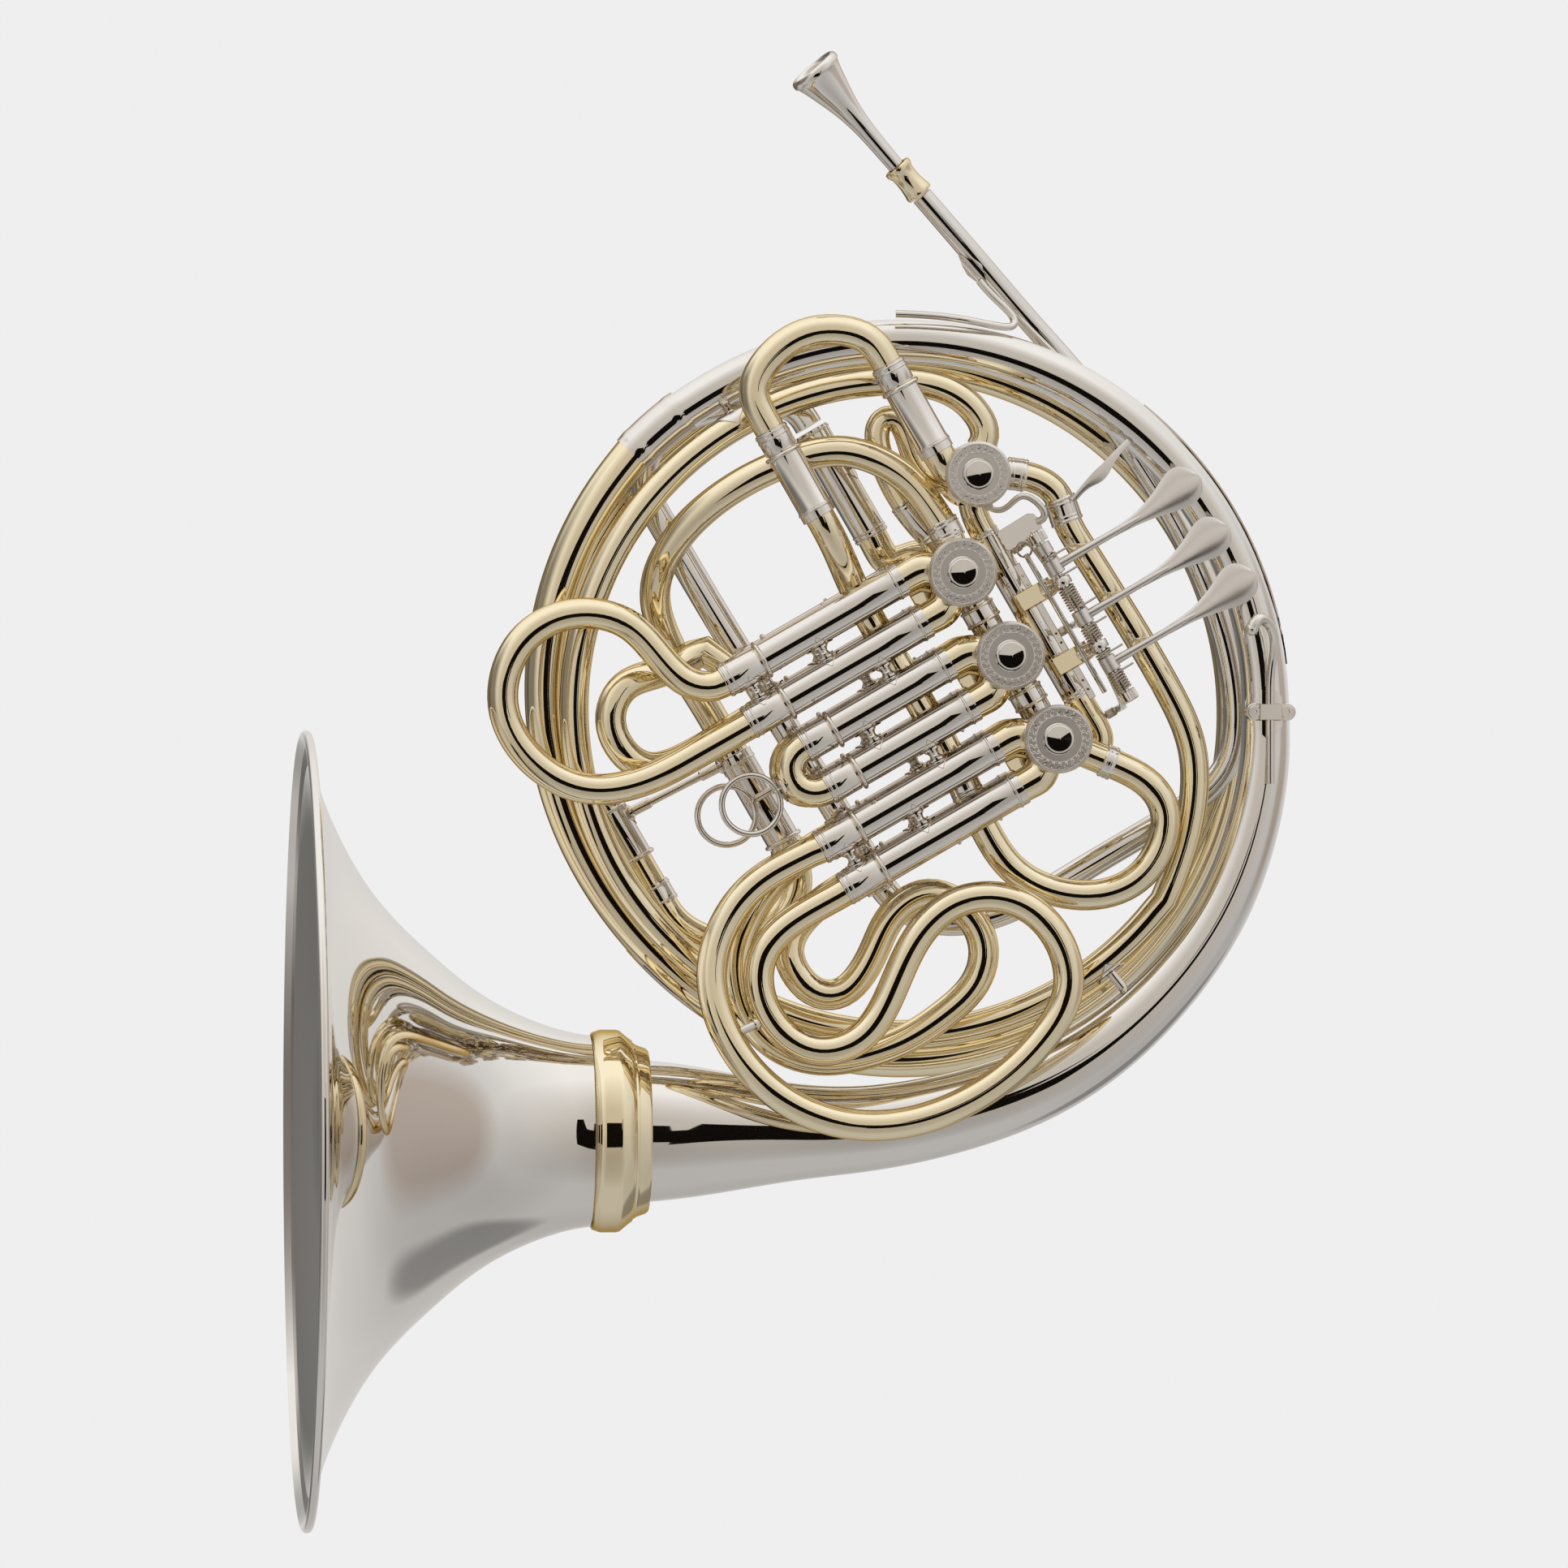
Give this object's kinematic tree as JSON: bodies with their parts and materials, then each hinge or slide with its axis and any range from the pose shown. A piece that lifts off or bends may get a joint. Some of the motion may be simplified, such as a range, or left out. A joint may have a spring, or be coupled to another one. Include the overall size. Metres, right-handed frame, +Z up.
{
  "type": "french horn",
  "caption": "Double french horn with rotary valves: a wide screw-on bell, coiled tapered tubing, pull-out tuning slides, sprung finger levers and a mouthpiece.",
  "frame": {"origin": "on the floor under the middle of the horn's bounding box, with the horn standing on the rim of its bell", "axes": "+X runs from the mouthpiece to the bell, +Y away from the player's hands and valve caps, +Z up along the bell's axis"},
  "size_m": [0.5753, 0.311, 0.3862],
  "materials": {
    "nickel_silver": "polished nickel silver under clear lacquer",
    "lacquered_brass": "polished yellow brass under clear lacquer",
    "silver_plate": "polished silver plate",
    "satin_nickel": "satin nickel plate with polished parts",
    "steel": "turned steel"
  },
  "bodies": {
    "horn": {"arch_tube": "lacquered_brass", "b_flat_sleeves_1": "nickel_silver", "b_flat_sleeves_2": "nickel_silver", "b_flat_sleeves_3": "nickel_silver", "bell_collar": "lacquered_brass", "bell_tail": "nickel_silver", "change_valve_cap": "satin_nickel", "change_valve_casing": "lacquered_brass", "f_coil": "lacquered_brass", "f_sleeves_1": "nickel_silver", "f_sleeves_2": "nickel_silver", "f_sleeves_3": "nickel_silver", "feed_tube": "lacquered_brass", "hook_clamp": "nickel_silver", "leadpipe": "silver_plate", "leadpipe_bow": "silver_plate", "leadpipe_brace": "nickel_silver", "lever_axle": "nickel_silver", "link_sleeve": "nickel_silver", "linking_crook": "nickel_silver", "main_sleeve_left": "nickel_silver", "main_sleeve_right": "nickel_silver", "mouthpiece_receiver": "lacquered_brass", "outer_coil": "lacquered_brass", "rear_tuning_sleeves": "nickel_silver", "row_tube": "nickel_silver", "tail_ferrule": "nickel_silver", "valve_1_cap": "satin_nickel", "valve_1_casing": "lacquered_brass", "valve_2_cap": "satin_nickel", "valve_2_casing": "lacquered_brass", "valve_3_cap": "satin_nickel", "valve_3_casing": "lacquered_brass"},
    "bell_ring": {"bell_screw_ring": "lacquered_brass"},
    "bell": {"bell_flare": "nickel_silver"},
    "mouthpiece": {"mouthpiece": "silver_plate"},
    "f_slide_1": {"f_slide_1": "lacquered_brass"},
    "f_slide_2": {"f_slide_2": "lacquered_brass"},
    "f_slide_3": {"f_slide_3": "lacquered_brass"},
    "b_flat_slide_1": {"b_flat_slide_1": "lacquered_brass"},
    "b_flat_slide_2": {"b_flat_slide_2": "lacquered_brass"},
    "b_flat_slide_3": {"b_flat_slide_3": "lacquered_brass"},
    "main_tuning_slide": {"main_tuning_slide": "lacquered_brass"},
    "rear_tuning_slide": {"rear_tuning_slide": "lacquered_brass"},
    "lever_1": {"lever_1": "satin_nickel"},
    "lever_2": {"lever_2": "satin_nickel"},
    "lever_3": {"lever_3": "satin_nickel"},
    "thumb_lever": {"thumb_lever": "satin_nickel"},
    "rotor_1": {"valve_1_rotor": "steel"},
    "rotor_2": {"valve_2_rotor": "steel"},
    "rotor_3": {"valve_3_rotor": "steel"},
    "change_rotor": {"change_valve_rotor": "steel"},
    "link_rod_1": {"link_rod_1": "steel"},
    "link_rod_2": {"link_rod_2": "steel"},
    "link_rod_3": {"link_rod_3": "steel"},
    "pull_ring_1": {"pull_ring_1": "nickel_silver"},
    "pull_ring_2": {"pull_ring_2": "nickel_silver"},
    "pinky_hook": {"pinky_hook": "nickel_silver"}
  },
  "joints": [
    {"name": "bell_travel", "type": "slide", "parent": "horn", "child": "bell_ring", "axis": [0, 0, -1], "range_m": [0, 0.012]},
    {"name": "bell_turn", "type": "hinge", "parent": "bell_ring", "child": "bell", "pos_m": [0.1321, 0, 0.056], "axis": [0, 0, 1], "range_deg": [0, 2160]},
    {"name": "mouthpiece_pull", "type": "slide", "parent": "horn", "child": "mouthpiece", "axis": [-0.749, -0.1, -0.655], "range_m": [0, 0.03]},
    {"name": "f_slide_1_pull", "type": "slide", "parent": "horn", "child": "f_slide_1", "axis": [0.5, 0, -0.866], "range_m": [0, 0.04]},
    {"name": "f_slide_2_pull", "type": "slide", "parent": "horn", "child": "f_slide_2", "axis": [0.5, 0, -0.866], "range_m": [0, 0.04]},
    {"name": "f_slide_3_pull", "type": "slide", "parent": "horn", "child": "f_slide_3", "axis": [0.5, 0, -0.866], "range_m": [0, 0.02]},
    {"name": "b_flat_slide_1_pull", "type": "slide", "parent": "horn", "child": "b_flat_slide_1", "axis": [0.5, 0, -0.866], "range_m": [0, 0.02]},
    {"name": "b_flat_slide_2_pull", "type": "slide", "parent": "horn", "child": "b_flat_slide_2", "axis": [0.5, 0, -0.866], "range_m": [0, 0.025]},
    {"name": "b_flat_slide_3_pull", "type": "slide", "parent": "horn", "child": "b_flat_slide_3", "axis": [0.5, 0, -0.866], "range_m": [0, 0.008]},
    {"name": "main_tuning_pull", "type": "slide", "parent": "horn", "child": "main_tuning_slide", "axis": [-0.866, 0, -0.5], "range_m": [0, 0.022]},
    {"name": "rear_tuning_pull", "type": "slide", "parent": "horn", "child": "rear_tuning_slide", "axis": [0.866, 0, 0.5], "range_m": [0, 0.012]},
    {"name": "lever_1_press", "type": "hinge", "parent": "horn", "child": "lever_1", "pos_m": [-0.08672, -0.02, 0.2912], "axis": [-0.866, 0, -0.5], "range_deg": [0, 12.5], "stiffness_Nm_per_rad": 0.3, "springref_deg": -11.46},
    {"name": "lever_2_press", "type": "hinge", "parent": "horn", "child": "lever_2", "pos_m": [-0.06732, -0.02, 0.3024], "axis": [-0.866, 0, -0.5], "range_deg": [0, 12.5], "stiffness_Nm_per_rad": 0.3, "springref_deg": -11.46},
    {"name": "lever_3_press", "type": "hinge", "parent": "horn", "child": "lever_3", "pos_m": [-0.04922, -0.02, 0.31285], "axis": [-0.866, 0, -0.5], "range_deg": [0, 12.5], "stiffness_Nm_per_rad": 0.3, "springref_deg": -11.46},
    {"name": "thumb_lever_press", "type": "hinge", "parent": "horn", "child": "thumb_lever", "pos_m": [-0.0936, -0.02, 0.2872], "axis": [-0.866, 0, -0.5], "range_deg": [0, 14], "stiffness_Nm_per_rad": 0.3, "springref_deg": -11.46},
    {"name": "rotor_1_turn", "type": "hinge", "parent": "horn", "child": "rotor_1", "pos_m": [-0.08442, 0, 0.2543], "axis": [0, 1, 0], "range_deg": [0, 90.5]},
    {"name": "rotor_2_turn", "type": "hinge", "parent": "horn", "child": "rotor_2", "pos_m": [-0.0522, 0, 0.2729], "axis": [0, 1, 0], "range_deg": [0, 90.5]},
    {"name": "rotor_3_turn", "type": "hinge", "parent": "horn", "child": "rotor_3", "pos_m": [-0.01998, 0, 0.2915], "axis": [0, 1, 0], "range_deg": [0, 90.5]},
    {"name": "change_rotor_turn", "type": "hinge", "parent": "horn", "child": "change_rotor", "pos_m": [-0.1225, 0, 0.2608], "axis": [0, 1, 0], "range_deg": [0, 90.5]},
    {"name": "link_rod_1_travel", "type": "slide", "parent": "horn", "child": "link_rod_1", "axis": [0.5, 0, -0.866], "range_m": [0, 0.0115]},
    {"name": "link_rod_2_travel", "type": "slide", "parent": "horn", "child": "link_rod_2", "axis": [0.5, 0, -0.866], "range_m": [0, 0.0115]},
    {"name": "link_rod_3_travel", "type": "slide", "parent": "horn", "child": "link_rod_3", "axis": [0.5, 0, -0.866], "range_m": [0, 0.0115]},
    {"name": "pull_ring_1_swing", "type": "hinge", "parent": "f_slide_2", "child": "pull_ring_1", "pos_m": [-0.00065, -0.024, 0.18362], "axis": [0.866, 0, 0.5], "range_deg": [-20, 20]},
    {"name": "pull_ring_2_swing", "type": "hinge", "parent": "b_flat_slide_2", "child": "pull_ring_2", "pos_m": [0.0036, 0.004, 0.17625], "axis": [0.866, 0, 0.5], "range_deg": [-20, 20]},
    {"name": "pinky_hook_adjust", "type": "slide", "parent": "horn", "child": "pinky_hook", "axis": [1, 0, 0], "range_m": [-0.008, 0.004]}
  ],
  "couplings": [
    {"joint": "bell_travel", "follows": "bell_turn", "m_per_rad": 0.00031831},
    {"joint": "rotor_1_turn", "follows": "lever_1_press", "ratio": 7.2},
    {"joint": "link_rod_1_travel", "follows": "lever_1_press", "m_per_rad": 0.0515},
    {"joint": "rotor_2_turn", "follows": "lever_2_press", "ratio": 7.2},
    {"joint": "link_rod_2_travel", "follows": "lever_2_press", "m_per_rad": 0.0515},
    {"joint": "rotor_3_turn", "follows": "lever_3_press", "ratio": 7.2},
    {"joint": "link_rod_3_travel", "follows": "lever_3_press", "m_per_rad": 0.0515},
    {"joint": "change_rotor_turn", "follows": "thumb_lever_press", "ratio": 6.4}
  ]
}
